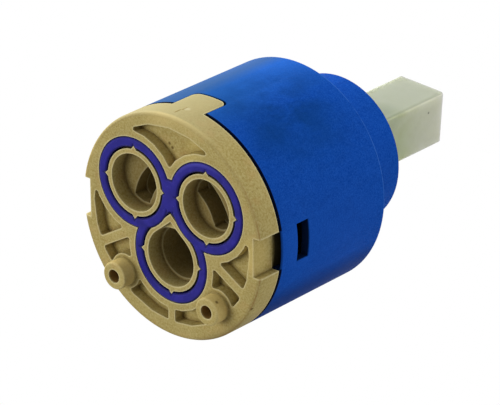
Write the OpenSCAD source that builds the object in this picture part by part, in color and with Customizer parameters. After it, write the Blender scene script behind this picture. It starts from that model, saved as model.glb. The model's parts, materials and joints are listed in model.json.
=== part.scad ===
// Single-lever mixer tap cartridge with ceramic discs, on a flat three-port base.
// Millimetres. The origin is the centre of the flat seating face under the base, +Z points
// up the cartridge towards the lever, +Y towards the outlet port and the locating pegs,
// and the two inlet ports lie on the -Y side. The lever stands upright, half open, and is
// turned a few degrees past the middle of its range.

/* [Housing] */
// Outside diameter of the housing
housing_d = 40; // [39:0.5:44]
// Wall of the housing
housing_wall = 1.65; // [1.2:0.05:2]
// Gap between the flange of the base and the lower edge of the housing
edge_gap = 0.44; // [0.2:0.02:1]
// Thickness of the shoulder
shoulder_t = 2; // [1.4:0.1:3]
// Width of the shoulder round the neck, on which the clamping nut presses
shoulder_w = 6.5; // [5.5:0.1:7]
// Wall of the neck
neck_wall = 2; // [1.4:0.1:2.5]
// Height of the neck above the shoulder
neck_h = 11.9; // [9:0.1:16]
// Chamfer on the upper outer edges of the housing
housing_chamfer = 0.3; // [0.1:0.05:0.8]

/* [Snap windows and key] */
// Width of each snap window
window_w = 6.8; // [5:0.1:9]
// Height of each snap window
window_h = 2.95; // [2.4:0.05:4]
// Height of the window's lower edge above the edge of the housing
window_rise = 3.9; // [3:0.1:6]
// Width of the key tab on the base
key_w = 6.88; // [4:0.02:10]
// Height of the key tab above the flange of the base
key_h = 5.74; // [4:0.02:8]
// Radius of the upper corners of the key tab
key_corner = 1.2; // [0.5:0.1:2]
// Gap between the top of the key tab and its slot
key_top_gap = 0.5; // [0.2:0.05:1]
// Depth of the relief notches below the snap hooks
notch_depth = 1.8; // [1:0.1:2.2]
// Width of the relief notches
notch_w = 7; // [5:0.1:9]
// Height of the lead-in ramp below each window, which spreads over the snap hook
lead_h = 3; // [2:0.1:3.4]
// Wall left at the foot of the lead-in ramp
lead_edge = 0.25; // [0.2:0.05:0.6]
// How far a snap hook stands out of the base
hook_out = 1.1; // [0.7:0.05:1.4]
// Height of a snap hook
hook_h = 1.6; // [1:0.1:2.2]

/* [Base] */
// Height of the flange of the base
flange_h = 4.66; // [3.5:0.02:7]
// Rounding of the flange's lower rim
rim_round = 0.65; // [0.3:0.05:1]
// Height of the deck that carries the port seals
deck_z = 8.8; // [8:0.1:12]
// Wall of the collar round the fixed disc
collar_wall = 1.95; // [1.4:0.05:2.2]
// Height of the collar above the deck
collar_h = 3.4; // [2:0.1:3.8]
// Width of the locating keys in the collar
disc_key_w = 4; // [3:0.1:6]
// How far the locating keys reach inwards
disc_key_depth = 1.5; // [0.8:0.1:2]
// Width of the slit beside each snap finger
finger_slit = 0.8; // [0.5:0.1:1.2]

/* [Ports] */
// Sideways distance of an inlet port from the centre
inlet_x = 8; // [7.8:0.05:8.4]
// Distance of the inlet ports from the centre towards the key
inlet_y = 5.75; // [5.4:0.05:6.2]
// Distance of the outlet port from the centre
outlet_y = 5.6; // [5.2:0.05:6]
// Radius of a port
port_r = 5.1; // [4.6:0.05:5.3]
// Depth of the round part of a port
port_depth = 3; // [2.4:0.1:4]
// Depth of the wide throat between an inlet port and its kidney-shaped passage
throat_depth = 2.5; // [1.5:0.1:3]
// How far the throat reaches outwards past the kidney-shaped passage
throat_shift = 0.15; // [0.1:0.05:0.4]
// Radius of the opening inside the ledge at the end of a port
ledge_r = 4.6; // [3.5:0.1:4.7]
// Distance from the outlet's centre to the point of its drop-shaped mouth
drop_reach = 6.57; // [6.2:0.01:7]
// Depth of the drop-shaped mouth
drop_depth = 0.8; // [0.4:0.1:1.4]
// Wall of the raised lip round each port
lip_wall = 0.85; // [0.6:0.05:0.95]
// Distance from the outlet's centre to the point of its lip
lip_reach = 8.04; // [7.8:0.01:8.4]
// Width of the pointed nubs that centre the gasket
nub_w = 1.1; // [0.8:0.1:1.6]
// How far a nub reaches out of its lip, into a notch of the gasket
nub_reach = 0.65; // [0.4:0.05:0.8]

/* [Base gasket] */
// Gap between a lip and the gasket
gasket_gap = 0.35; // [0.25:0.05:0.6]
// Width of the gasket's rings
gasket_w = 1.7; // [1.4:0.05:1.8]
// Depth of the gasket's groove
groove_depth = 1.9; // [1.4:0.1:2.4]
// How far the bead of the gasket stands below the seating face
gasket_proud = 0.15; // [0.1:0.05:0.6]
// Distance from the edges of the gasket to its bead
bead_inset = 0.25; // [0.15:0.05:0.4]
// Half width of the web between the inlet rings
web_half = 0.8; // [0.7:0.05:1.2]
// Distance of the web's end from the centre towards the key
web_reach = 8.6; // [8:0.1:9]

/* [Underside pockets] */
// Depth of the pockets
pocket_depth = 2; // [1:0.1:3]
// Wall between a pocket and the gasket groove
pocket_wall = 1.3; // [0.9:0.05:1.6]
// Width of the rim outside the pockets
pocket_rim = 2.7; // [2.5:0.1:3.4]
// Width of the rim outside the pocket below the key
key_pocket_rim = 2.2; // [2:0.1:3]
// Width of the ribs between the pockets
rib_w = 1.46; // [1:0.02:2]
// Slope of the slanted ribs
rib_angle = 30.5; // [20:0.5:40]
// Distance from the centre towards the key where the slanted ribs would meet
rib_meet = 2; // [1:0.1:3]
// Radius of the boss round each peg
boss_r = 3.1; // [2.8:0.1:3.6]
// Corner radius of the pockets
pocket_corner = 0.4; // [0.2:0.05:0.6]

/* [Locating pegs] */
// Sideways distance of a peg from the centre
peg_x = 10.4; // [10:0.1:11]
// Distance of the pegs from the centre towards the outlet
peg_y = 11.2; // [10.8:0.1:11.8]
// Radius of a peg
peg_r = 2.45; // [1.8:0.05:2.7]
// Height of a peg below the seating face
peg_h = 2.9; // [1.5:0.1:5]
// Radius of the hole in a peg
peg_hole_r = 1.2; // [0.6:0.05:1.4]
// Rounding of a peg's end
peg_round = 0.35; // [0.1:0.05:0.6]

/* [Ceramic discs and seals] */
// Thickness of the fixed disc
fixed_disc_t = 3.8; // [3:0.1:5]
// Thickness of the moving disc
moving_disc_t = 3.8; // [3:0.1:5]
// Radius of the moving disc
moving_disc_r = 13; // [12.7:0.1:13.4]
// Mean radius of the kidney-shaped inlet slots
kidney_r = 8.95; // [8.6:0.05:9.2]
// Width of the inlet slots
kidney_w = 3.5; // [2.5:0.1:3.8]
// Half angle between the round ends of an inlet slot
kidney_half = 17; // [12:0.5:18]
// Radius of the mixing chamber in the moving disc
chamber_r = 9.8; // [9.2:0.1:10]
// Offset of the mixing chamber towards the outlet
chamber_y = 0.9; // [0.5:0.1:1.1]
// Distance from the centre to the flat side of the mixing chamber
chamber_flat = 2.2; // [1.5:0.1:2.6]
// Wall between a passage and its seal groove
seal_wall = 0.5; // [0.4:0.05:0.7]
// Width of the seals in the deck and in the carrier
seal_w = 1.3; // [1:0.05:1.4]
// Depth of the seal grooves in the deck
seal_depth = 1.4; // [1:0.1:2]
// How far the port seals stand above the deck
seal_proud = 0.2; // [0.1:0.02:0.4]

/* [Disc carrier and silencer] */
// Thickness of the carrier's plate
carrier_t = 4; // [3.6:0.1:5]
// Radius of the carrier's plate
carrier_r = 14.6; // [14.4:0.1:14.9]
// Length of the carrier's block along its travel
block_l = 14; // [10:0.5:15]
// Width of the carrier's block
block_w = 15.8; // [13:0.1:17]
// Height of the carrier's block
block_h = 3.4; // [3:0.1:4.5]
// Depth of the recess over the mixing chamber
recess_depth = 1.8; // [1.4:0.1:2.2]
// Depth of the seal groove in the carrier
carrier_groove = 1.1; // [0.8:0.1:1.4]
// Width of the driving lugs on the carrier
lug_w = 4.7; // [3:0.1:6]
// Length of the driving lugs beside the moving disc
lug_h = 2.2; // [1.5:0.1:3]
// Thickness of the silencer pad
silencer_t = 1; // [0.6:0.1:1.2]
// Radius of the holes in the silencer pad
silencer_hole_r = 0.8; // [0.4:0.05:0.9]
// Spacing of the holes in the silencer pad
silencer_pitch = 2.4; // [2.2:0.1:4]

/* [Rotor] */
// Height of the rotor's wide lower flange
rotor_low_h = 4.95; // [4.65:0.05:7]
// Height of the rotor's stepped upper flange
rotor_high_h = 2.8; // [2:0.1:4]
// Height of the rotor's end above the neck
rotor_proud = 0.8; // [0.3:0.1:2]
// Radial depth of the turning stops in the housing
stop_depth = 1.45; // [1:0.05:2]
// Half width of the rotor's stop lug in degrees
stop_half = 14; // [10:0.5:18]
// Turning range to each side of the middle in degrees
turn_range = 50; // [40:1:55]
// How far the lever and the parts that turn with it stand past the middle, in degrees
rest_turn = 3.5; // [-10:0.5:10]
// Thickness of the glide ring under the shoulder
glide_t = 1; // [0.6:0.1:1.6]
// Gap between the bore of the neck and the glide ring
glide_gap = 1; // [0.4:0.1:2]
// Depth of the core-outs under the rotor
core_depth = 5; // [2:0.5:6]

/* [Lever] */
// Width of the square stem
stem_w = 9.95; // [9:0.05:10.5]
// Rounding of the stem's long edges
stem_round = 0.6; // [0.3:0.05:1.2]
// Height of the stem's end above the neck
stem_reach = 22.3; // [15:0.1:35]
// Radius of the lever's round tip
tip_r = 2.5; // [2:0.05:2.6]
// Width of the lever's lower arm
arm_w = 9; // [7:0.1:9.2]
// Thickness of the lever's lower arm above its tip
arm_t = 4; // [3:0.1:4.1]
// Distance from the pivot to the centre of the tip
arm_l = 11.5; // [10.5:0.1:13]
// Tilting range to each side in degrees
tilt_range = 12.5; // [8:0.5:13]
// Radius of the pivot pin
pin_r = 1.5; // [1:0.05:2]
// Radius of the screw hole in the end of the stem
screw_r = 2.1; // [1.2:0.1:2.5]
// Depth of the screw hole
screw_depth = 14; // [8:0.5:16]

/* [Fits] */
// Radial clearance of the spigot in the housing
spigot_fit = 0.15; // [0.1:0.01:0.3]
// Side clearance of keys, hooks, lugs and discs in their seats
side_fit = 0.15; // [0.1:0.01:0.25]
// Radial running clearance of the rotor in the neck
journal_fit = 0.08; // [0.04:0.01:0.1]
// Radial running clearance of the pivot pin in the lever
pin_fit = 0.05; // [0.03:0.01:0.08]
// Radial clearance of the pivot pin in the rotor
pin_grip = 0.01; // [0.01:0.01:0.03]
// Gap between faces that slide on a film of grease
grease_gap = 0.03; // [0.02:0.01:0.05]
// Running clearance between the rotor, the carrier and the housing
running_gap = 0.2; // [0.15:0.01:0.3]
// Clearance of the lever's tip in the carrier's slot
tip_fit = 0.06; // [0.05:0.01:0.1]
// Clearance of the lever in the rotor's slot
slot_fit = 0.16; // [0.12:0.01:0.25]

/* [Hidden] */
$fn = 96;
eps = 0.01;
far = 60;

// Radii of the shell
housing_r = housing_d / 2;
cavity_r = housing_r - housing_wall;
neck_r = housing_r - shoulder_w;
neck_bore_r = neck_r - neck_wall;
spigot_r = cavity_r - spigot_fit;
collar_r = spigot_r - collar_wall;
fixed_disc_r = collar_r - side_fit;

// Heights from the seating face upwards
tip_drop = 1.3;
housing_z = flange_h + edge_gap;
window_z = housing_z + window_rise;
key_z = flange_h + key_h;
fixed_disc_z = deck_z + seal_proud;
fixed_top = fixed_disc_z + fixed_disc_t;
moving_disc_z = fixed_top + grease_gap;
carrier_z = moving_disc_z + moving_disc_t;
carrier_top = carrier_z + carrier_t;
block_top = carrier_top + block_h;
rotor_z = carrier_top + running_gap;
rotor_step_z = rotor_z + rotor_low_h;
rotor_flange_top = rotor_step_z + rotor_high_h;
glide_z = rotor_flange_top + grease_gap;
shoulder_low = glide_z + glide_t;
shoulder_z = shoulder_low + shoulder_t;
neck_z = shoulder_z + neck_h;
rotor_top = neck_z + rotor_proud;
stem_top = neck_z + stem_reach;
tip_z = block_top - tip_drop;
pivot_z = tip_z + arm_l;

// Ports and gasket
inlets = [[-inlet_x, -inlet_y], [inlet_x, -inlet_y]];
outlet = [0, outlet_y];
inlet_angle = atan2(inlet_y, inlet_x);
lip_r = port_r + lip_wall;
gasket_inner = lip_r + gasket_gap;
gasket_outer = gasket_inner + gasket_w;
groove_fit = 0.1;
nub_fit = 0.05;
pocket_r = housing_r - pocket_rim;
key_pocket_r = housing_r - key_pocket_rim;
port_wall_r = gasket_outer + groove_fit + pocket_wall;

// Seal grooves in the deck and in the carrier
seal_fit = 0.1;
groove_in = seal_wall;
groove_out = seal_wall + seal_w + 2 * seal_fit;

// Turning parts
stop_margin = 0.5;
journal_r = neck_bore_r - journal_fit;
rotor_low_r = cavity_r - running_gap;
stop_r = cavity_r - stop_depth;
rotor_high_r = stop_r - running_gap;
stop_gap_half = turn_range + stop_half + stop_margin;
groove_top = block_top + running_gap;
barrel_r = stem_w / 2;
slot_half = barrel_r + slot_fit;
pin_l = 2 * journal_r - 2 * running_gap;
lug_in = moving_disc_r - 1.3;

// One round drop shape: a circle with a point towards -Y at the given distance
module drop(r, reach) {
  tangent = asin(r / reach);
  circle(r = r);
  polygon([[0, -reach], [r * cos(tangent), -r * sin(tangent)], [0, 0],
    [-r * cos(tangent), -r * sin(tangent)]]);
}

// Places its children at both inlet ports
module at_inlets() {
  for (place = inlets)
    translate(place)
      children();
}

// Circles of one radius at all three ports
module port_circles(r) {
  at_inlets()
    circle(r = r);
  translate(outlet)
    circle(r = r);
}

// Outline of the three joined gasket rings, grown by a margin
module gasket_outline(margin = 0) {
  port_circles(gasket_outer + margin);
  translate([-web_half - margin, -web_reach - margin])
    square([2 * (web_half + margin), web_reach + outlet_y - lip_r]);
}

// The outlet's lip: a drop with its flanks hollowed along the inlet rings
module outlet_lip(r, reach, margin) {
  difference() {
    translate(outlet)
      drop(r, reach);
    at_inlets()
      circle(r = gasket_outer + margin);
  }
}

// Pointed nubs round a lip, a quarter turn apart, grown by a margin
module nubs(from, to, margin = 0) {
  half = nub_w / 2 + margin;
  for (turn = [from:90:to])
    rotate(turn)
      polygon([[lip_r - 0.3, -half - 0.1], [lip_r, -half], [lip_r + nub_reach + 2 * margin, 0],
        [lip_r, half], [lip_r - 0.3, half + 0.1]]);
}

// Everything that stands in the gasket's groove
module lips() {
  at_inlets()
    union() {
      circle(r = lip_r);
      nubs(0, 270);
    }
  outlet_lip(lip_r, lip_reach, groove_fit);
  translate(outlet)
    nubs(0, 180);
}

// Plan of the gasket itself, notched for the nubs, with its edges set in by a distance
module gasket_plan(inset) {
  difference() {
    gasket_outline(-inset);
    at_inlets()
      union() {
        circle(r = gasket_inner + inset);
        nubs(0, 270, nub_fit + inset);
      }
    outlet_lip(gasket_inner + inset, lip_reach + gasket_gap + inset, -inset);
    translate(outlet)
      nubs(0, 180, nub_fit + inset);
  }
}

// A kidney slot of a given width, along an arc about the centre. Its round ends are a
// hair narrower than the slot, so that they meet the flanks at a clear edge.
end_step = 0.02;
module kidney(angle, w) {
  rotate(angle) {
    intersection() {
      difference() {
        circle(r = kidney_r + w / 2);
        circle(r = kidney_r - w / 2);
      }
      polygon([[0, 0], [far * cos(kidney_half), -far * sin(kidney_half)],
        [far * cos(kidney_half), far * sin(kidney_half)]]);
    }
    for (side = [-1, 1])
      rotate(side * kidney_half)
        translate([kidney_r, 0])
          circle(r = w / 2 - end_step);
  }
}

// Throat of an inlet port: the part of the port that the ring of the kidneys crosses
module throats() {
  intersection() {
    at_inlets()
      circle(r = ledge_r);
    difference() {
      circle(r = kidney_r + kidney_w / 2 + throat_shift);
      circle(r = kidney_r - kidney_w / 2 + throat_shift);
    }
  }
}

// Plan of the mixing chamber, grown by a margin
module chamber(margin = 0) {
  intersection() {
    translate([0, chamber_y])
      circle(r = chamber_r + margin);
    translate([-far, -chamber_flat - margin])
      square([2 * far, 2 * far]);
  }
}

// A rectangle with two round upper corners, its lower edge at zero
module round_top(w, h, r) {
  translate([-w / 2, 0])
    square([w, h - r]);
  translate([-w / 2 + r, 0])
    square([w - 2 * r, h]);
  for (side = [-1, 1])
    translate([side * (w / 2 - r), h - r])
      circle(r = r);
}

// A rectangle with four round corners, about the centre
module round_square(w, r) {
  square([w, w - 2 * r], center = true);
  square([w - 2 * r, w], center = true);
  for (x = [-1, 1])
    for (y = [-1, 1])
      translate([x * (w / 2 - r), y * (w / 2 - r)])
        circle(r = r);
}

// A round sector of a ring between two radii, from one angle to another
module ring_sector(inner, outer, height, from, to) {
  rotate(from)
    rotate_extrude(angle = to - from)
      translate([inner, 0])
        square([outer - inner, height]);
}

// The four kinds of pocket under the base are one field, cut by walls, ribs and bosses
module pocket_field() {
  difference() {
    union() {
      circle(r = pocket_r);
      intersection() {
        circle(r = key_pocket_r);
        translate([-far, -far - inlet_y])
          square([2 * far, far]);
      }
    }
    port_circles(port_wall_r);
    translate([-rib_w / 2, 0])
      square([rib_w, far]);
    for (side = [-1, 1]) {
      translate([side * peg_x, peg_y])
        circle(r = boss_r);
      translate([0, -rib_meet])
        rotate(side > 0 ? rib_angle : 180 - rib_angle)
          translate([0, -rib_w * 0.6])
            square([far, rib_w * 1.2]);
    }
  }
}

module pockets() {
  translate([0, 0, -eps])
    linear_extrude(pocket_depth + eps)
      offset(r = pocket_corner, $fn = 24)
        offset(delta = -pocket_corner)
          pocket_field();
}

// Notch below each snap hook
module relief_notch() {
  translate([housing_r - notch_depth, -notch_w / 2, -eps])
    cube([far, notch_w, flange_h + 2 * eps]);
}

// Ramp inside the lower edge of the housing, as wide as the notch, that spreads over a hook
module lead_in() {
  intersection() {
    translate([0, -notch_w / 2, housing_z - 1])
      cube([far, notch_w, lead_h + 1]);
    translate([0, 0, housing_z - eps])
      cylinder(r1 = housing_r - lead_edge, r2 = cavity_r - 0.2, h = lead_h);
  }
}

// Springy finger: the collar is slit on both sides and cut lower behind the window
module finger_relief() {
  for (side = [-1, 1])
    translate([collar_r - 1, side * (notch_w / 2 + finger_slit / 2) - finger_slit / 2, deck_z])
      cube([far, finger_slit, far]);
  translate([collar_r - 1, -notch_w / 2, window_z + hook_h])
    cube([far, notch_w, far]);
}

module snap_hook() {
  hook_w = window_w - 2 * side_fit;
  intersection() {
    translate([0, hook_w / 2, 0])
      rotate([90, 0, 0])
        linear_extrude(hook_w)
          polygon([[spigot_r - 1, window_z + side_fit], [spigot_r + hook_out, window_z + side_fit],
            [spigot_r + hook_out, window_z + side_fit + 0.3], [spigot_r, window_z + hook_h],
            [spigot_r - 1, window_z + hook_h]]);
    cylinder(r = spigot_r + hook_out, h = far);
  }
}

module key_tab() {
  intersection() {
    translate([0, 0, flange_h - 1])
      rotate([90, 0, 0])
        linear_extrude(far)
          round_top(key_w, key_h + 1, key_corner);
    difference() {
      cylinder(r = housing_r, h = far);
      translate([0, 0, -eps])
        cylinder(r = spigot_r - 0.5, h = far);
    }
  }
}

module base_body() {
  rotate_extrude() {
    translate([0, rim_round])
      square([housing_r, flange_h - rim_round]);
    square([housing_r - rim_round, flange_h]);
    translate([housing_r - rim_round, rim_round])
      circle(r = rim_round);
    translate([0, flange_h - eps])
      square([spigot_r, deck_z - flange_h + eps]);
    translate([collar_r, deck_z - eps])
      square([collar_wall, collar_h + eps]);
  }
  for (side = [0, 180])
    rotate(90 + side)
      translate([collar_r - disc_key_depth, -disc_key_w / 2 + side_fit, deck_z - eps])
        cube([disc_key_depth + 0.5, disc_key_w - 2 * side_fit, collar_h + eps]);
  key_tab();
}

module peg() {
  rotate_extrude() {
    translate([0, -peg_h])
      square([peg_r - peg_round, peg_h + 1]);
    translate([0, -peg_h + peg_round])
      square([peg_r, peg_h - peg_round + 1]);
    translate([peg_r - peg_round, -peg_h + peg_round])
      circle(r = peg_round);
  }
}

module base() {
  color("#c4b27c")
    difference() {
      union() {
        difference() {
          base_body();
          for (side = [0, 180])
            rotate(side) {
              relief_notch();
              finger_relief();
            }
          pockets();
          translate([0, 0, -eps])
            linear_extrude(groove_depth + eps)
              difference() {
                gasket_outline(groove_fit);
                lips();
              }
        }
        for (side = [0, 180])
          rotate(side)
            snap_hook();
        for (side = [-1, 1])
          translate([side * peg_x, peg_y, 0])
            peg();
      }
      // Round ports, then the throats and the shaped passages through the deck
      for (place = [inlets[0], inlets[1], outlet])
        translate([place[0], place[1], -eps])
          cylinder(r = port_r, h = port_depth + eps);
      translate([0, 0, -eps])
        linear_extrude(drop_depth + eps)
          translate(outlet)
            drop(port_r, drop_reach);
      translate([0, 0, port_depth - eps])
        linear_extrude(throat_depth + eps)
          throats();
      translate([0, 0, port_depth - eps])
        linear_extrude(far) {
          kidney(180 + inlet_angle, kidney_w);
          kidney(-inlet_angle, kidney_w);
          translate(outlet)
            circle(r = ledge_r);
        }
      // Seal grooves in the deck
      translate([0, 0, deck_z - seal_depth])
        linear_extrude(far)
          difference() {
            union() {
              kidney(180 + inlet_angle, kidney_w + 2 * groove_out);
              kidney(-inlet_angle, kidney_w + 2 * groove_out);
              translate(outlet)
                circle(r = ledge_r + groove_out);
            }
            kidney(180 + inlet_angle, kidney_w + 2 * groove_in);
            kidney(-inlet_angle, kidney_w + 2 * groove_in);
            translate(outlet)
              circle(r = ledge_r + groove_in);
          }
      for (side = [-1, 1])
        translate([side * peg_x, peg_y, -peg_h - eps])
          cylinder(r = peg_hole_r, h = peg_h + groove_depth + pocket_depth);
    }
}

module housing() {
  color("#1c4ba6")
    difference() {
      rotate_extrude()
        polygon([[0, housing_z], [housing_r, housing_z], [housing_r, shoulder_z - housing_chamfer],
          [housing_r - housing_chamfer, shoulder_z], [neck_r, shoulder_z],
          [neck_r, neck_z - housing_chamfer], [neck_r - housing_chamfer, neck_z], [0, neck_z]]);
      difference() {
        translate([0, 0, housing_z - eps])
          cylinder(r = cavity_r, h = shoulder_low - housing_z + eps);
        // Turning stops: the ring is left open over the rotor's travel
        translate([0, 0, rotor_step_z + running_gap])
          ring_sector(stop_r, cavity_r + 0.5, shoulder_low - rotor_step_z,
            90 + stop_gap_half, 450 - stop_gap_half);
      }
      translate([0, 0, shoulder_low - 1])
        cylinder(r = neck_bore_r, h = far);
      // Snap windows and the lead-in ramps below them
      for (side = [0, 180])
        rotate(side) {
          translate([0, -window_w / 2, window_z])
            cube([far, window_w, window_h]);
          lead_in();
        }
      // Slot for the key tab of the base, open at the lower edge
      translate([0, 0, housing_z - 1])
        rotate([90, 0, 0])
          linear_extrude(far)
            round_top(key_w + 2 * side_fit, key_z + key_top_gap - housing_z + 1, key_corner);
    }
}

module base_gasket() {
  color("#3a30a0") {
    linear_extrude(groove_depth)
      gasket_plan(0);
    translate([0, 0, -gasket_proud])
      linear_extrude(gasket_proud + 1)
        gasket_plan(bead_inset);
  }
}

// A port seal along the outline of its passage
module deck_seal_height() {
  translate([0, 0, deck_z - seal_depth])
    linear_extrude(seal_depth + seal_proud)
      children();
}

module inlet_seal(angle) {
  color("#2b2b30")
    deck_seal_height()
      difference() {
        kidney(angle, kidney_w + 2 * (groove_out - seal_fit));
        kidney(angle, kidney_w + 2 * (groove_in + seal_fit));
      }
}

module inlet_seal_left() {
  inlet_seal(180 + inlet_angle);
}

module inlet_seal_right() {
  inlet_seal(-inlet_angle);
}

module outlet_seal() {
  color("#2b2b30")
    deck_seal_height()
      translate(outlet)
        difference() {
          circle(r = ledge_r + groove_out - seal_fit);
          circle(r = ledge_r + groove_in + seal_fit);
        }
}

module fixed_disc() {
  color("#e9e4da")
    difference() {
      translate([0, 0, fixed_disc_z])
        cylinder(r = fixed_disc_r, h = fixed_disc_t);
      translate([0, 0, fixed_disc_z - eps])
        linear_extrude(fixed_disc_t + 2 * eps) {
          kidney(180 + inlet_angle, kidney_w);
          kidney(-inlet_angle, kidney_w);
          translate(outlet)
            circle(r = ledge_r);
        }
      for (side = [90, 270])
        rotate(side)
          translate([collar_r - disc_key_depth - side_fit, -disc_key_w / 2, fixed_disc_z - eps])
            cube([far, disc_key_w, fixed_disc_t + 2 * eps]);
    }
}

module moving_disc() {
  color("#f1eee6")
    rotate(rest_turn)
      difference() {
        translate([0, 0, moving_disc_z])
          cylinder(r = moving_disc_r, h = moving_disc_t);
        translate([0, 0, moving_disc_z - eps])
          linear_extrude(moving_disc_t + 2 * eps)
            chamber();
        for (side = [0, 180])
          rotate(side)
            translate([lug_in - side_fit, -lug_w / 2 - side_fit, carrier_z - lug_h - side_fit])
              cube([far, lug_w + 2 * side_fit, far]);
      }
}

module silencer_pad() {
  count = floor(chamber_r / silencer_pitch);
  color("#9aa0a6")
    rotate(rest_turn)
      translate([0, 0, carrier_z + recess_depth - silencer_t])
        difference() {
          linear_extrude(silencer_t)
            chamber(-seal_wall - side_fit);
          for (column = [-count:count])
            for (row = [-count:count])
              if (norm([column, row]) * silencer_pitch < chamber_r - 2 * silencer_hole_r
                  && row * silencer_pitch + chamber_y > 1.5 * silencer_hole_r - chamber_flat)
                translate([column * silencer_pitch, row * silencer_pitch + chamber_y, -eps])
                  cylinder(r = silencer_hole_r, h = silencer_t + 2 * eps, $fn = 24);
        }
}

module carrier_seal() {
  color("#2b2b30")
    rotate(rest_turn)
      translate([0, 0, carrier_z])
        linear_extrude(carrier_groove)
          difference() {
            chamber(groove_out - seal_fit);
            chamber(groove_in + seal_fit);
          }
}

module disc_carrier() {
  color("#26282c")
    rotate(rest_turn)
      difference() {
        union() {
          translate([0, 0, carrier_z])
            cylinder(r = carrier_r, h = carrier_t);
          translate([-block_w / 2, -block_l / 2, carrier_top - eps])
            cube([block_w, block_l, block_h + eps]);
          for (side = [0, 180])
            rotate(side)
              intersection() {
                translate([lug_in, -lug_w / 2, carrier_z - lug_h])
                  cube([carrier_r - lug_in, lug_w, lug_h + 1]);
                translate([0, 0, carrier_z - lug_h])
                  cylinder(r = moving_disc_r, h = far);
              }
        }
        translate([0, 0, carrier_z - eps])
          linear_extrude(recess_depth + eps)
            chamber(-seal_wall);
        translate([0, 0, carrier_z - eps])
          linear_extrude(carrier_groove + eps)
            difference() {
              chamber(groove_out);
              chamber(groove_in);
            }
        translate([-arm_w / 2 - side_fit, -tip_r - tip_fit, tip_z - tip_r - 0.3])
          cube([arm_w + 2 * side_fit, 2 * (tip_r + tip_fit), far]);
      }
}

// Outline of the lever's slot seen along the pivot pin: its flanks stop the lever
module slot_flank() {
  limit = tilt_range + 0.2;
  rise = rotor_top + 1 - pivot_z;
  along = (rise + slot_half * sin(limit)) / cos(limit);
  top_y = along * sin(limit) + slot_half * cos(limit);
  waist_y = slot_half / cos(limit);
  polygon([[-waist_y, rotor_z - pivot_z - 1], [waist_y, rotor_z - pivot_z - 1], [waist_y, 0],
    [top_y, rise], [-top_y, rise], [-waist_y, 0]]);
}

module rotor() {
  color("#d9d8cc")
    rotate(rest_turn)
      difference() {
        union() {
          translate([0, 0, rotor_z])
            cylinder(r = rotor_low_r, h = rotor_low_h);
          translate([0, 0, rotor_z])
            cylinder(r = rotor_high_r, h = rotor_flange_top - rotor_z);
          translate([0, 0, rotor_step_z - 1])
            ring_sector(rotor_high_r - 1, rotor_low_r, rotor_high_h + 1 - running_gap,
              90 - stop_half, 90 + stop_half);
          translate([0, 0, rotor_z])
            rotate_extrude()
              polygon([[0, 0], [journal_r, 0], [journal_r, rotor_top - rotor_z - 0.5],
                [journal_r - 0.5, rotor_top - rotor_z], [0, rotor_top - rotor_z]]);
        }
        // Guide groove for the carrier's block
        translate([-block_w / 2 - side_fit, -far / 2, rotor_z - eps])
          cube([block_w + 2 * side_fit, far, groove_top - rotor_z + eps]);
        // Slot in which the lever tilts
        translate([-stem_w / 2 - slot_fit, 0, pivot_z])
          rotate([90, 0, 90])
            linear_extrude(stem_w + 2 * slot_fit)
              slot_flank();
        translate([0, 0, pivot_z])
          rotate([0, 90, 0])
            cylinder(r = pin_r + pin_grip, h = far, center = true);
        // Core-outs on both sides of the guide groove
        for (side = [0, 180])
          rotate(side)
            translate([0, 0, rotor_z - eps])
              intersection() {
                translate([block_w / 2 + 2, -block_l / 2, 0])
                  cube([far, block_l, core_depth + eps]);
                cylinder(r = rotor_high_r - 1.5, h = core_depth + eps);
              }
      }
}

module glide_ring() {
  color("#f0f0ea")
    translate([0, 0, glide_z])
      difference() {
        cylinder(r = rotor_high_r, h = glide_t);
        translate([0, 0, -eps])
          cylinder(r = neck_bore_r + glide_gap, h = glide_t + 2 * eps);
      }
}

module pivot_pin() {
  color("#b9bcc0")
    rotate(rest_turn)
      translate([0, 0, pivot_z])
        rotate([0, 90, 0])
          cylinder(r = pin_r, h = pin_l, center = true);
}

module lever() {
  color("#cfd2bd")
    rotate(rest_turn)
      difference() {
        union() {
          translate([0, 0, pivot_z])
            linear_extrude(stem_top - pivot_z)
              round_square(stem_w, stem_round);
          translate([0, 0, pivot_z])
            rotate([0, 90, 0])
              cylinder(r = barrel_r, h = stem_w, center = true);
          translate([-arm_w / 2, -arm_t / 2, tip_z])
            cube([arm_w, arm_t, arm_l]);
          translate([0, 0, tip_z])
            rotate([0, 90, 0])
              cylinder(r = tip_r, h = arm_w, center = true);
        }
        translate([0, 0, pivot_z])
          rotate([0, 90, 0])
            cylinder(r = pin_r + pin_fit, h = far, center = true);
        translate([0, 0, stem_top - screw_depth])
          cylinder(r = screw_r, h = far);
      }
}

housing();
base();
base_gasket();
inlet_seal_left();
inlet_seal_right();
outlet_seal();
fixed_disc();
moving_disc();
silencer_pad();
carrier_seal();
disc_carrier();
rotor();
glide_ring();
pivot_pin();
lever();
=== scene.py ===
import json
import math

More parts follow.
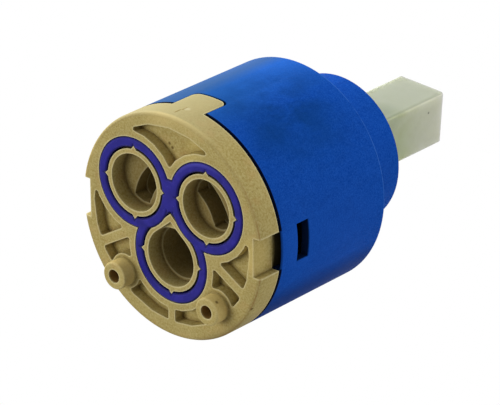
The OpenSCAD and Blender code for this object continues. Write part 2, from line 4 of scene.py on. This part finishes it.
import bmesh
import bpy
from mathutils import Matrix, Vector

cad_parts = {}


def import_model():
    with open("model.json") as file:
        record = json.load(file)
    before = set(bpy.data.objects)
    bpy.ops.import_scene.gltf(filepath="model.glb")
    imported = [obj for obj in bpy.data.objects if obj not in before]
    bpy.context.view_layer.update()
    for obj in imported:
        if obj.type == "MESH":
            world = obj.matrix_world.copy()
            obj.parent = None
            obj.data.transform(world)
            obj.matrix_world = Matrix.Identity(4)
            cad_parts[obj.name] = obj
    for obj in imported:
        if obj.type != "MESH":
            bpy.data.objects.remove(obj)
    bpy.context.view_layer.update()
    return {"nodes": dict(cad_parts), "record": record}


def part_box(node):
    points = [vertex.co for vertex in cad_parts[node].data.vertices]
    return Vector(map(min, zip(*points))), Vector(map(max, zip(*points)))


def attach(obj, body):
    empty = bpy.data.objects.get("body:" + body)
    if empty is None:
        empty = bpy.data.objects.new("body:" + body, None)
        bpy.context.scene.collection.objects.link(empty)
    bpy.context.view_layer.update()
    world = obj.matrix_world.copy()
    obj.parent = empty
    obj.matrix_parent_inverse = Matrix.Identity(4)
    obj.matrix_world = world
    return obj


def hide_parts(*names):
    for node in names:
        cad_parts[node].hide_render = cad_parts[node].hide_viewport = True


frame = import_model()

# Millimetres in metres. The cartridge stands on its pegs, +Z up, key tab towards -Y. Its axis is
# the Z axis, and the seating face round the ports lies at Z = 0.
MM = 0.001

# The photograph's camera: its place, its turn, its lens on a 36 mm wide sensor, and how near and
# how far it sees, in metres
CAMERA_PLACE = Vector((338.85, -231.91, -364.00)) * MM
CAMERA_TURN_DEG = (155.144, -41.292, 0.404)
CAMERA_LENS_MM = 239.4
SENSOR_MM = 36.0
CLIP_NEAR = 0.01
CLIP_FAR = 10.0

# Soft lamps: the direction in the camera's view (right, up, towards the camera) and the watts.
# The strongest stands behind the cartridge and lights its top.
LAMPS = {
    "front_left": ((-0.88, -0.05, 0.47), 1.19),
    "overhead": ((0.0, 0.95, 0.30), 1.08),
    "low_right": ((0.92, -0.10, 0.38), 0.78),
    "rear_left": ((-0.60, 0.70, -0.40), 2.50),
}
LAMP_SIZE = 0.30
LAMP_DISTANCE = 0.50

# Strength of the even light round the cartridge
WORLD_LIGHT = 0.36
WHITE = (1.0, 1.0, 1.0, 1.0)

# The floor: half its side in metres, its gap under the pegs and its finish
FLOOR_HALF_SIZE = 1.2
FLOOR_GAP_MM = 0.02
FLOOR_COLOUR = (0.86, 0.86, 0.86, 1.0)
FLOOR_ROUGHNESS = 0.9

# Heights of the pegs' tips and of the stem's end. The lamps face the middle between them.
PEG_TIP_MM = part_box("base")[0].z / MM
STEM_END_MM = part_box("lever")[1].z / MM
MIDDLE = Vector((0, 0, PEG_TIP_MM + STEM_END_MM)) / 2 * MM

# Moulding leaves soft edges of this width, rounded in this many steps, where faces meet at more
# than the edge angle. The shading breaks at edges sharper than the crease angle.
MOULDED_EDGE_MM = {"base": 0.08, "housing": 0.10, "lever": 0.22, "rotor": 0.15}
EDGE_SEGMENTS = 3
EDGE_ANGLE = math.radians(28)
CREASE_ANGLE = math.radians(30)

# Before that, corners of a CAD mesh that lie this close are merged, and faces this flat are joined
MERGE_MM = 0.0005
FLAT_ANGLE = math.radians(0.4)

# The gasket's skin: the grain of its remesh, how far it is relaxed and the share of faces kept
SKIN_VOXEL_MM = 0.08
SKIN_RELAX_FACTOR = 0.5
SKIN_RELAX_STEPS = 6
SKIN_FACES_KEPT = 0.2

# Rays that look for corners and edges from each point of a surface
OCCLUSION_SAMPLES = 8

# The Mix node's two colours and its result, among its sockets of every type
MIX_FIRST = 6
MIX_SECOND = 7
MIX_RESULT = 2

# Sizes of the cartridge that the materials follow: the radius of housing and flange, the heights of
# the shoulder and of the chamfer at the housing's foot, half the width of the relief notches, the
# face of the key tab, the ports, the gasket's groove round each, and the pegs with their holes
HULL_RADIUS_MM = 20.0
SHOULDER_MM = 31.61
HOUSING_FOOT_MM = 5.4
NOTCH_HALF_WIDTH_MM = 3.4
KEY_FACE_Y_MM = -19.5
PORTS_MM = ((-8.0, -5.75), (8.0, -5.75), (0.0, 5.6))
PORT_RADIUS_MM = 5.1
GROOVE_RADII_MM = (5.94, 8.12)
PEGS_MM = ((-10.4, 11.2), (10.4, 11.2))
PEG_HOLE_RADIUS_MM = 1.2

# Directions across the axis: to the side that lies uppermost in the photograph, to the crest that
# makes the housing's upper outline there, to the undersides of housing and flange, to the window
# that shows, and square to the stem's face on the key's side
KEY_SIDE = (-0.27, -0.96, 0)
CREST_SIDE = (-0.38, -0.925, 0)
HOUSING_UNDERSIDE = (0.707, 0.707, 0)
FLANGE_UNDERSIDE = (0.568, 0.823, 0)
WINDOW_SIDE = (0.95, 0.3, 0)
STEM_KEY_FACE = (0.061, -0.998, 0)

# The gate's scar beside the key: two ridges, each from low to high along X and along Z, and the
# pale place by them
GATE_RIDGES_MM = (((-0.34, -0.18), (1.9, 3.2)), ((-0.12, 0.04), (3.5, 4.5)))
GATE_MM = (0.45, -20.0, 4.1)

# Small dark marks: two in the key pocket, one on a peg and one on the rim
MARKS_MM = ((-1.7, -14.0, 2.0), (-1.04, -13.4, 2.0), (11.87, 9.24, -1.90), (17.57, 9.55, 0.38))


def srgb(r, g, b):
    """Linear colour of an 8-bit display colour."""
    def linear(v):
        v = v / 255
        return v / 12.92 if v <= 0.04045 else ((v + 0.055) / 1.055) ** 2.4
    return (linear(r), linear(g), linear(b), 1.0)


class Nodes:
    """A node tree, built a node at a time."""

    def __init__(self, tree):
        self.tree = tree

    def node(self, kind, **settings):
        """A new node. A setting is one of its inputs, with _ for a space, or a property."""
        made = self.tree.nodes.new(kind)
        for key, value in settings.items():
            name = key.replace("_", " ")
            if name in made.inputs:
                self.feed(made.inputs[name], value)
            else:
                setattr(made, key, value)
        return made

    def feed(self, socket, value):
        """Links a socket to another node's output, or gives it a value of its own."""
        if isinstance(value, bpy.types.NodeSocket):
            self.tree.links.new(value, socket)
        else:
            socket.default_value = value

    def combined(self, kind, operation, *operands, **settings):
        """The outputs of a node that does one operation on its operands."""
        made = self.node(kind, operation=operation, **settings)
        for socket, operand in zip(made.inputs, operands):
            self.feed(socket, operand)
        return made.outputs

    def value_math(self, operation, *operands, **settings):
        return self.combined("ShaderNodeMath", operation, *operands, **settings)["Value"]

    def either_shader(self, share, first, second):
        """The first shader where the share is zero, the second where it is one."""
        made = self.node("ShaderNodeMixShader", Fac=share)
        self.feed(made.inputs[1], first.outputs[0])
        self.feed(made.inputs[2], second.outputs[0])
        return made.outputs["Shader"]


class Surface(Nodes):
    """A material with one Principled shader. Its colour is painted in layers over a ground.

    Masks and shares run from zero to one. Colours are 8-bit display colours or outputs of nodes.
    """

    def __init__(self, name, ground):
        self.material = bpy.data.materials.new(name)
        self.material.use_nodes = True
        super().__init__(self.material.node_tree)
        self.shader = self.tree.nodes["Principled BSDF"]
        self.place = self.node("ShaderNodeTexCoord").outputs["Object"]
        self.colour = ground
        self.normal = None

    def vector_math(self, operation, *operands):
        return self.combined("ShaderNodeVectorMath", operation, *operands)

    # Places, in metres

    def along(self, axis):
        """Coordinate along X, Y or Z. Z is the height above the seating face."""
        return self.node("ShaderNodeSeparateXYZ", Vector=self.place).outputs[axis]

    def radius(self, x_mm=0.0, y_mm=0.0):
        """Distance from a line parallel to Z, the cartridge's axis unless one is given."""
        offset = self.vector_math("SUBTRACT", self.place, (x_mm * MM, y_mm * MM, 0))["Vector"]
        flat = self.vector_math("MULTIPLY", offset, (1, 1, 0))["Vector"]
        return self.vector_math("LENGTH", flat)["Value"]

    def toward(self, direction):
        """Distance from the axis along a direction."""
        return self.vector_math("DOT_PRODUCT", self.place, direction)["Value"]

    def stretched(self, scale):
        """Object coordinates, scaled differently along each axis."""
        return self.node("ShaderNodeMapping", Vector=self.place, Scale=scale).outputs["Vector"]

    # Masks and shares

    def ramp(self, value, low, high):
        """Zero at low, one at high, clamped. The two may be given in either order."""
        return self.node("ShaderNodeMapRange", Value=value, From_Min=low, From_Max=high).outputs["Result"]

    def ramp_mm(self, length, low_mm, high_mm):
        """The ramp of a length, between limits in mm."""
        return self.ramp(length, low_mm * MM, high_mm * MM)

    def between(self, share, low, high):
        """A number that runs from low to high with the share."""
        return self.node("ShaderNodeMapRange", Value=share, To_Min=low, To_Max=high).outputs["Result"]

    def scaled(self, value, factor):
        return self.value_math("MULTIPLY", value, factor)

    def band(self, length, low_mm, high_mm, edge_mm):
        """One between the two limits, zero further than the edge outside them."""
        rise = self.ramp_mm(length, low_mm - edge_mm, low_mm)
        fall = self.ramp_mm(length, high_mm + edge_mm, high_mm)
        return self.scaled(rise, fall)

    def near(self, place_mm, radius_mm, soft=0.6):
        """One at a point, zero from the radius on. It fades over the soft share of the radius."""
        distance = self.vector_math("DISTANCE", self.place, Vector(place_mm) * MM)["Value"]
        return self.ramp_mm(distance, radius_mm, radius_mm * (1 - soft))

    def by_depth(self, low_mm, high_mm):
        """Zero at the first depth below the round side of housing and flange, one at the second."""
        return self.ramp_mm(self.radius(), HULL_RADIUS_MM - low_mm, HULL_RADIUS_MM - high_mm)

    def by_notches(self):
        """One between the sides of the flange's two relief notches."""
        return self.band(self.along("Y"), -NOTCH_HALF_WIDTH_MM, NOTCH_HALF_WIDTH_MM, 0.1)

    def noise(self, size_mm, detail=3.0, rough=0.5, place=None, distortion=0.0):
        """Noise with features of about the given size."""
        return self.node("ShaderNodeTexNoise", Vector=place or self.place, Scale=1 / (size_mm * MM),
                         Detail=detail, Roughness=rough, Distortion=distortion).outputs["Fac"]

    def specks(self, spacing_mm, radius):
        """One inside small round specks that lie about a spacing apart, zero elsewhere."""
        cells = self.node("ShaderNodeTexVoronoi", Vector=self.place, Scale=1 / (spacing_mm * MM))
        return self.ramp(cells.outputs["Distance"], radius, radius * 0.5)

    def openness(self, reach_mm, inside=False):
        """One on open faces, less in corners. From inside it is less at edges that stand out."""
        return self.node("ShaderNodeAmbientOcclusion", Distance=reach_mm * MM, inside=inside,
                         only_local=True, samples=OCCLUSION_SAMPLES).outputs["AO"]

    def hollows(self, reach_mm):
        """One deep in corners and slits, zero on open faces."""
        return self.ramp(self.openness(reach_mm), 0.95, 0.35)

    def edges(self, reach_mm):
        """One on edges that stand out, zero on faces."""
        return self.ramp(self.openness(reach_mm, inside=True), 0.96, 0.62)

    # Layers

    def mixed(self, share, first, second):
        """The first colour where the share is zero, the second where it is one."""
        made = self.node("ShaderNodeMix", data_type="RGBA")
        self.feed(made.inputs["Factor"], share)
        for index, colour in ((MIX_FIRST, first), (MIX_SECOND, second)):
            self.feed(made.inputs[index], srgb(*colour) if isinstance(colour, tuple) else colour)
        return made.outputs[MIX_RESULT]

    def paint(self, mask, colour, strength=1.0):
        """Lays a colour over what is there."""
        share = mask if strength == 1.0 else self.scaled(mask, strength)
        self.colour = self.mixed(share, self.colour, colour)

    def patch(self, place_mm, radius_mm, colour, strength, soft=0.6):
        """Lays a round patch of colour over what is there."""
        self.paint(self.near(place_mm, radius_mm, soft), colour, strength)

    def bump(self, height, depth_mm):
        """Adds relief of the given depth to what is there."""
        made = self.node("ShaderNodeBump", Height=height, Distance=depth_mm * MM, Strength=1.0)
        if self.normal:
            self.feed(made.inputs["Normal"], self.normal)
        self.normal = made.outputs["Normal"]

    def done(self, **values):
        """The material, once its shader has the colour, the relief and the given values."""
        for key, value in {"Base_Color": self.colour, "Normal": self.normal, **values}.items():
            self.feed(self.shader.inputs[key.replace("_", " ")], value)
        return self.material


def blue_plastic():
    m = Surface("blue_plastic", ground=(13, 77, 176))
    level = m.along("Z")
    # Slow clouds, a mottle, streaks along the axis and a fine grain of two tones
    cloud = m.ramp(m.noise(9, detail=2, place=m.stretched((1, 1, 0.45))), 0.35, 0.68)
    mottle = m.ramp(m.noise(1.2, detail=5, rough=0.75), 0.36, 0.64)
    flow = m.noise(3.2, detail=4, rough=0.6, place=m.stretched((1, 1, 0.5)), distortion=1.0)
    grain = m.ramp(m.noise(0.26, detail=2, rough=0.6), 0.32, 0.68)
    m.paint(cloud, (10, 68, 160))
    m.paint(mottle, (24, 88, 190), 0.6)
    m.paint(m.ramp(flow, 0.50, 0.72), (8, 58, 138), 0.4)
    m.paint(grain, (36, 92, 188), 0.5)
    m.paint(m.between(grain, 0.4, 0.0), (0, 50, 142))
    # Greener round the key's slot
    m.patch((-6, -19.5, 9), 16, (22, 76, 84), 0.3, soft=0.7)
    # Painted light on the uppermost side, most of all near the shoulder, and a greyer painted highlight
    # along the crest
    top = m.mixed(m.ramp_mm(level, 14, 27), (38, 98, 172), (46, 114, 208))
    m.paint(m.ramp_mm(m.toward(KEY_SIDE), 15, 20), top, 0.5)
    m.paint(m.ramp_mm(m.toward(CREST_SIDE), 19.0, 19.8), (56, 90, 134), 0.75)
    # Painted dark reflections, in streaks and a patch, between the key and the window
    dark_reflection = m.ramp(m.noise(5.5, detail=5, rough=0.6, place=m.stretched((1, 1, 0.6))), 0.36, 0.60)
    dark_reflection = m.scaled(dark_reflection, m.near((8.8, -17.9, 18.5), 14, soft=0.9))
    m.paint(dark_reflection, (8, 54, 108), 0.75)
    m.patch((11.0, -16.6, 12.5), 6.5, (8, 54, 108), 0.45, soft=0.9)
    # Paler at the window and above it, and painted shade on the underside
    m.patch((19.8, 1.8, 10), 10, (32, 94, 200), 0.4, soft=0.9)
    m.patch((19.7, 3.6, 21), 10, (36, 92, 196), 0.35, soft=0.9)
    m.paint(m.ramp_mm(m.toward(HOUSING_UNDERSIDE), 18.4, 19.8), (6, 42, 106), 0.75)
    # A painted highlight along the shoulder's edge, broken in places
    shoulder_highlight = m.band(level, SHOULDER_MM - 0.31, SHOULDER_MM + 0.01, 0.20)
    shoulder_highlight = m.scaled(shoulder_highlight, m.by_depth(0.6, 0.4))
    shoulder_highlight = m.scaled(shoulder_highlight, m.ramp(m.noise(1.6), 0.26, 0.50))
    m.paint(shoulder_highlight, (70, 126, 208), 0.6)
    # Painted shade at the foot, less over the notches, and on the walls of window and slot
    foot = m.scaled(m.ramp_mm(level, HOUSING_FOOT_MM + 0.02, HOUSING_FOOT_MM - 0.04), m.by_depth(1.1, 0.8))
    m.paint(m.scaled(foot, m.between(m.by_notches(), 0.97, 0.35)), (2, 4, 14))
    below_shoulder = m.ramp_mm(level, SHOULDER_MM - 1.01, SHOULDER_MM - 1.41)
    m.paint(m.scaled(m.by_depth(0.14, 0.26), below_shoulder), (10, 32, 72))
    m.bump(m.noise(0.22, detail=2), 0.006)
    m.bump(m.noise(6, detail=1), 0.03)
    return m.done(Roughness=m.between(m.noise(4), 0.52, 0.62), Specular_IOR_Level=0.012)


def tan_plastic():
    m = Surface("tan_plastic", ground=(176, 158, 97))
    level = m.along("Z")
    # Slow clouds, a grain of two tones, warmer places and a few dark specks
    grain = m.noise(0.36, rough=0.7)
    m.paint(m.ramp(m.noise(5), 0.35, 0.65), (166, 147, 85))
    m.paint(m.ramp(grain, 0.42, 0.72), (198, 186, 130), 0.7)
    m.paint(m.ramp(grain, 0.50, 0.28), (140, 120, 62), 0.4)
    m.paint(m.ramp(m.noise(3.4, rough=0.6), 0.52, 0.72), (188, 152, 96), 0.35)
    m.paint(m.specks(1.1, 0.16), (110, 82, 40), 0.35)
    # A painted highlight makes the rim greyer on the uppermost side, painted shade darkens its underside,
    # and it is darker where its rounding starts
    up = m.toward(KEY_SIDE)
    m.paint(m.scaled(m.ramp_mm(up, 13, 19.5), m.by_depth(0.7, 0.2)), (170, 160, 116), 0.8)
    m.paint(m.ramp_mm(m.toward(FLANGE_UNDERSIDE), 18.4, 19.8), (112, 98, 60), 0.45)
    m.paint(m.scaled(m.ramp_mm(level, 0.30, 0.16), m.by_depth(0.8, 0.6)), (142, 120, 68), 0.25)
    # Painted shade in the corners, less of it at the pegs, which get painted light
    pegs = m.band(level, PEG_TIP_MM + 0.3, -0.7, 0.4)
    m.paint(m.scaled(m.hollows(1.0), m.between(pegs, 0.75, 0.25)), (92, 70, 30))
    m.paint(pegs, (212, 188, 118), 0.5)
    # Painted light on the face towards the key and in a place in the key pocket, and painted highlights on
    # edges that stand out
    brow_light = m.scaled(m.ramp_mm(up, 14, 18.5), m.ramp_mm(level, 0.8, 0.4))
    m.paint(m.scaled(brow_light, m.ramp_mm(m.along("X"), -7, -2)), (218, 196, 130), 0.4)
    m.patch((4.6, -14.3, 1.6), 3.4, (206, 186, 112), 0.35)
    m.paint(m.edges(0.35), (226, 216, 168), 0.6)
    # A faint, broken, brownish line along the rim, on the window's side
    line = m.scaled(m.band(level, 0.16, 0.26, 0.07), m.by_depth(0.5, 0.3))
    line = m.scaled(line, m.ramp_mm(m.toward(WINDOW_SIDE), 8, 17))
    m.paint(m.scaled(line, m.ramp(m.noise(3, detail=2), 0.30, 0.52)), (146, 104, 54), 0.5)
    # The gate's scar and the small marks
    across = m.along("X")
    ridges = [m.scaled(m.band(across, *x_mm, 0.12), m.band(level, *z_mm, 0.25))
              for x_mm, z_mm in GATE_RIDGES_MM]
    on_key_face = m.ramp_mm(m.along("Y"), KEY_FACE_Y_MM, KEY_FACE_Y_MM - 0.2)
    scar = m.scaled(m.scaled(m.value_math("ADD", *ridges), on_key_face), 0.8)
    m.paint(scar, (140, 120, 60))
    m.patch(GATE_MM, 0.7, (218, 210, 172), 0.35)
    for mark_mm in MARKS_MM:
        m.patch(mark_mm, 0.38, (92, 70, 34), 0.8)
    # Painted shade inside the ports and peg holes, and in the groove beside the gasket.
    for port in PORTS_MM:
        reach = m.radius(*port)
        inside = m.ramp_mm(reach, PORT_RADIUS_MM + 0.3, PORT_RADIUS_MM + 0.1)
        m.paint(m.scaled(inside, m.ramp_mm(level, 0.1, 3.4)), (62, 42, 16), 0.6)
        groove = m.scaled(m.band(reach, *GROOVE_RADII_MM, 0.04), m.ramp_mm(level, 0.06, 0.3))
        m.paint(groove, (16, 11, 8), 0.85)
    for peg in PEGS_MM:
        inside = m.ramp_mm(m.radius(*peg), PEG_HOLE_RADIUS_MM + 0.10, PEG_HOLE_RADIUS_MM + 0.02)
        inside = m.scaled(inside, m.ramp_mm(level, PEG_TIP_MM + 0.02, PEG_TIP_MM + 0.4))
        m.paint(inside, (116, 76, 22), 0.8)
    # Painted light on the floor of the notch, and painted shade under the housing, which sets in a little
    # higher there
    m.patch((18.2, 0, 0.6), 4.2, (223, 198, 121), 0.35)
    shade_level = m.value_math("ADD", level, m.scaled(m.by_notches(), -0.45 * MM))
    gap = m.scaled(m.ramp_mm(shade_level, 4.2, 4.95), m.ramp_mm(level, 7.9, 7.5))
    gap = m.scaled(gap, m.band(m.radius(), HULL_RADIUS_MM - 2.0, HULL_RADIUS_MM - 1.1, 0.2))
    m.paint(gap, (18, 13, 8), 0.9)
    m.bump(grain, 0.012)
    m.bump(m.noise(2.5, detail=2), 0.03)
    m.bump(scar, 0.06)
    return m.done(Roughness=m.between(grain, 0.55, 0.7), Specular_IOR_Level=0.06)


def gasket_silicone():
    m = Surface("gasket_silicone", ground=(40, 36, 138))
    # Slow clouds, a few pale specks and patches of painted highlight
    m.paint(m.ramp(m.noise(3, detail=2), 0.3, 0.7), (32, 29, 116))
    m.paint(m.specks(0.9, 0.1), (88, 86, 172), 0.5)
    m.paint(m.ramp(m.noise(2.2, detail=4, rough=0.6), 0.50, 0.72), (66, 58, 172), 0.3)
    # A painted highlight on the right ring's crown where it turns towards the light, and painted shade on
    # its sides in the groove
    crown = m.band(m.radius(*PORTS_MM[1]), 7.45, 7.75, 0.3)
    m.paint(m.scaled(crown, m.ramp_mm(m.toward(KEY_SIDE), 9, 12)), (84, 82, 184), 0.6)
    m.paint(m.ramp_mm(m.along("Z"), -0.10, -0.03), (14, 12, 62), 0.65)
    m.bump(m.noise(0.4, detail=2), 0.008)
    return m.done(Roughness=m.between(m.noise(1.2), 0.42, 0.54), Specular_IOR_Level=0.11)


def stem_plastic():
    m = Surface("stem_plastic", ground=(198, 202, 182))
    # Slow clouds, a fine grain, a greener place above the neck, and blotches
    m.paint(m.ramp(m.noise(7, detail=2, distortion=0.6), 0.35, 0.7), (190, 196, 162))
    m.paint(m.noise(0.6), (204, 208, 192), 0.25)
    m.patch((5.0, 2.5, 52.0), 9, (160, 178, 116), 0.55, soft=0.9)
    m.paint(m.ramp(m.noise(2.2, detail=4, rough=0.65), 0.40, 0.68), (172, 178, 138), 0.45)
    # Painted light towards its end, painted shade on the face towards the key and where it leaves the neck
    m.paint(m.ramp_mm(m.along("Z"), 54, 65), (216, 216, 202), 0.6)
    m.paint(m.ramp_mm(m.toward(STEM_KEY_FACE), 4.64, 4.80), (156, 162, 142), 0.8)
    m.patch((3.2, -5.2, 51.5), 4.5, (124, 136, 112), 0.5, soft=0.8)
    # A dark mark near its end
    m.patch((5.2, -1.9, 61.9), 0.32, (80, 82, 58), 0.8)
    m.bump(m.noise(0.5, detail=2), 0.008)
    m.bump(m.noise(5, detail=1), 0.05)
    return m.done(Roughness=m.between(m.noise(1.5), 0.32, 0.44), Specular_IOR_Level=0.1,
                  Subsurface_Weight=1.0, Subsurface_Scale=0.004, Subsurface_Radius=(1.0, 0.97, 0.8))


def plain_plastic(name, light, dark, rough):
    """Moulded plastic inside the cartridge: a fine grain and slow flow marks."""
    m = Surface(name, ground=light)
    m.paint(m.ramp(m.noise(6, detail=2, place=m.stretched((1, 1, 0.5))), 0.3, 0.7), dark)
    m.bump(m.noise(0.3, detail=2), 0.006)
    return m.done(Roughness=m.between(m.noise(0.8), rough - 0.05, rough + 0.08))


def seal_rubber():
    m = Surface("seal_rubber", ground=(34, 34, 38))
    m.paint(m.noise(0.7), (48, 48, 52))
    m.bump(m.noise(0.2, detail=2), 0.006)
    return m.done(Roughness=m.between(m.noise(0.5), 0.5, 0.65))


def ceramic():
    m = Surface("ceramic", ground=(236, 232, 222))
    lapping = m.noise(0.12, detail=4, place=m.stretched((1, 0.25, 1)))
    m.paint(m.ramp(m.noise(2), 0.3, 0.7), (228, 222, 208))
    m.bump(lapping, 0.001)
    return m.done(Roughness=m.between(lapping, 0.16, 0.26))


def steel():
    m = Surface("steel", ground=(188, 190, 194))
    drawn = m.noise(0.15, place=m.stretched((0.08, 1, 1)))
    m.paint(drawn, (208, 209, 212))
    m.bump(drawn, 0.002)
    return m.done(Metallic=1.0, Roughness=m.between(drawn, 0.24, 0.36))


MATERIALS = {
    "blue_plastic": blue_plastic(),
    "tan_plastic": tan_plastic(),
    "gasket_silicone": gasket_silicone(),
    "stem_plastic": stem_plastic(),
    "seal_rubber": seal_rubber(),
    "ceramic": ceramic(),
    "steel": steel(),
    "rotor_plastic": plain_plastic("rotor_plastic", (214, 212, 200), (202, 199, 186), 0.42),
    "carrier_plastic": plain_plastic("carrier_plastic", (26, 27, 30), (18, 19, 22), 0.45),
    "glide_plastic": plain_plastic("glide_plastic", (238, 238, 234), (228, 228, 222), 0.3),
}
SLOT_OF = {part["node"]: part["material_slot"] for part in frame["record"]["subparts"]}
BODY_OF = {node: body for body, nodes in frame["record"]["behaviour"]["bodies"].items() for node in nodes}


def placed(name, data):
    """A new object in the scene."""
    made = bpy.data.objects.new(name, data)
    bpy.context.scene.collection.objects.link(made)
    return made


def piece_from(name, bm):
    mesh = bpy.data.meshes.new(name)
    bm.to_mesh(mesh)
    bm.free()
    return placed(name, mesh)


def add_modifier(piece, kind, **settings):
    made = piece.modifiers.new(kind.lower(), kind)
    for key, value in settings.items():
        setattr(made, key, value)


def bake(piece):
    """Applies the piece's modifiers to its mesh."""
    bpy.context.view_layer.update()
    graph = bpy.context.evaluated_depsgraph_get()
    mesh = bpy.data.meshes.new_from_object(piece.evaluated_get(graph))
    piece.modifiers.clear()
    old = piece.data
    piece.data = mesh
    bpy.data.meshes.remove(old)


def clean_copy(node, name):
    """A copy of a CAD node's shape whose flat faces are whole again."""
    bm = bmesh.new()
    bm.from_mesh(frame["nodes"][node].data)
    bmesh.ops.remove_doubles(bm, verts=bm.verts, dist=MERGE_MM * MM)
    bmesh.ops.dissolve_limit(bm, angle_limit=FLAT_ANGLE, verts=bm.verts, edges=bm.edges)
    return piece_from(name, bm)


def shade_with_creases(piece):
    """Smooth shading that breaks at the sharper edges."""
    mesh = piece.data
    mesh.shade_smooth()
    bm = bmesh.new()
    bm.from_mesh(mesh)
    for edge in bm.edges:
        edge.smooth = len(edge.link_faces) != 2 or edge.calc_face_angle(0) < CREASE_ANGLE
    bm.to_mesh(mesh)
    bm.free()


def finish_as(node, piece):
    """Gives a piece the material of a CAD node."""
    piece.data.materials.clear()
    piece.data.materials.append(MATERIALS[SLOT_OF[node]])


def stand_in(piece, node):
    """Makes a piece stand for a CAD node, with the node's material and body."""
    finish_as(node, piece)
    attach(piece, BODY_OF[node])
    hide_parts(node)


def moulded(node, edge_mm):
    """A CAD node with the soft edges that moulding leaves."""
    piece = clean_copy(node, node + "_moulded")
    add_modifier(piece, "BEVEL", width=edge_mm * MM, segments=EDGE_SEGMENTS, limit_method="ANGLE",
                 angle_limit=EDGE_ANGLE)
    bake(piece)
    shade_with_creases(piece)
    stand_in(piece, node)


def soft_gasket():
    """The gasket as one soft skin: crowns and webs flow into each other."""
    piece = clean_copy("base_gasket", "base_gasket_skin")
    add_modifier(piece, "REMESH", mode="VOXEL", voxel_size=SKIN_VOXEL_MM * MM)
    add_modifier(piece, "SMOOTH", factor=SKIN_RELAX_FACTOR, iterations=SKIN_RELAX_STEPS)
    add_modifier(piece, "DECIMATE", ratio=SKIN_FACES_KEPT)
    bake(piece)
    piece.data.shade_smooth()
    stand_in(piece, "base_gasket")


def camera():
    data = bpy.data.cameras.new("photo_camera")
    data.lens = CAMERA_LENS_MM
    data.sensor_width = SENSOR_MM
    data.sensor_fit = "HORIZONTAL"
    data.clip_start = CLIP_NEAR
    data.clip_end = CLIP_FAR
    made = placed("photo_camera", data)
    made.location = CAMERA_PLACE
    made.rotation_euler = [math.radians(v) for v in CAMERA_TURN_DEG]
    bpy.context.scene.camera = made
    bpy.context.view_layer.update()
    return made


def lamps(eye):
    """The soft lamps round the cartridge, placed by the camera's view."""
    view = eye.matrix_world.to_3x3()
    for name, (direction, power) in LAMPS.items():
        data = bpy.data.lights.new(name, "AREA")
        data.shape = "DISK"
        data.size = LAMP_SIZE
        data.energy = power
        made = placed(name, data)
        made.location = MIDDLE + view @ Vector(direction).normalized() * LAMP_DISTANCE
        made.rotation_euler = (MIDDLE - made.location).to_track_quat("-Z", "Y").to_euler()


def world():
    """Even pale light. To the camera, and in reflections and through glass, it shows white."""
    made = bpy.data.worlds.new("studio")
    made.use_nodes = True
    made.node_tree.nodes.clear()
    n = Nodes(made.node_tree)
    path = n.node("ShaderNodeLightPath").outputs
    seen = n.value_math("MAXIMUM", path["Is Camera Ray"], path["Is Glossy Ray"])
    seen = n.value_math("MAXIMUM", seen, path["Is Transmission Ray"])
    soft = n.node("ShaderNodeBackground", Color=WHITE, Strength=WORLD_LIGHT)
    white = n.node("ShaderNodeBackground", Color=WHITE, Strength=1.0)
    n.node("ShaderNodeOutputWorld", Surface=n.either_shader(seen, soft, white))
    bpy.context.scene.world = made


def floor():
    """A pale floor under the pegs. Only the camera sees it, and only from above."""
    bm = bmesh.new()
    bmesh.ops.create_grid(bm, x_segments=1, y_segments=1, size=FLOOR_HALF_SIZE)
    piece = piece_from("floor", bm)
    piece.location.z = (PEG_TIP_MM - FLOOR_GAP_MM) * MM
    material = bpy.data.materials.new("floor")
    material.use_nodes = True
    n = Nodes(material.node_tree)
    pale = n.tree.nodes["Principled BSDF"]
    n.feed(pale.inputs["Base Color"], FLOOR_COLOUR)
    n.feed(pale.inputs["Roughness"], FLOOR_ROUGHNESS)
    camera_ray = n.node("ShaderNodeLightPath").outputs["Is Camera Ray"]
    from_below = n.node("ShaderNodeNewGeometry").outputs["Backfacing"]
    seen = n.value_math("SUBTRACT", camera_ray, from_below, use_clamp=True)
    clear = n.node("ShaderNodeBsdfTransparent")
    n.feed(n.tree.nodes["Material Output"].inputs["Surface"], n.either_shader(seen, clear, pale))
    piece.data.materials.append(material)


for node, solid in frame["nodes"].items():
    finish_as(node, solid)

for node, edge_mm in MOULDED_EDGE_MM.items():
    moulded(node, edge_mm)
soft_gasket()

bpy.context.scene.view_settings.view_transform = "Standard"
world()
floor()
lamps(camera())
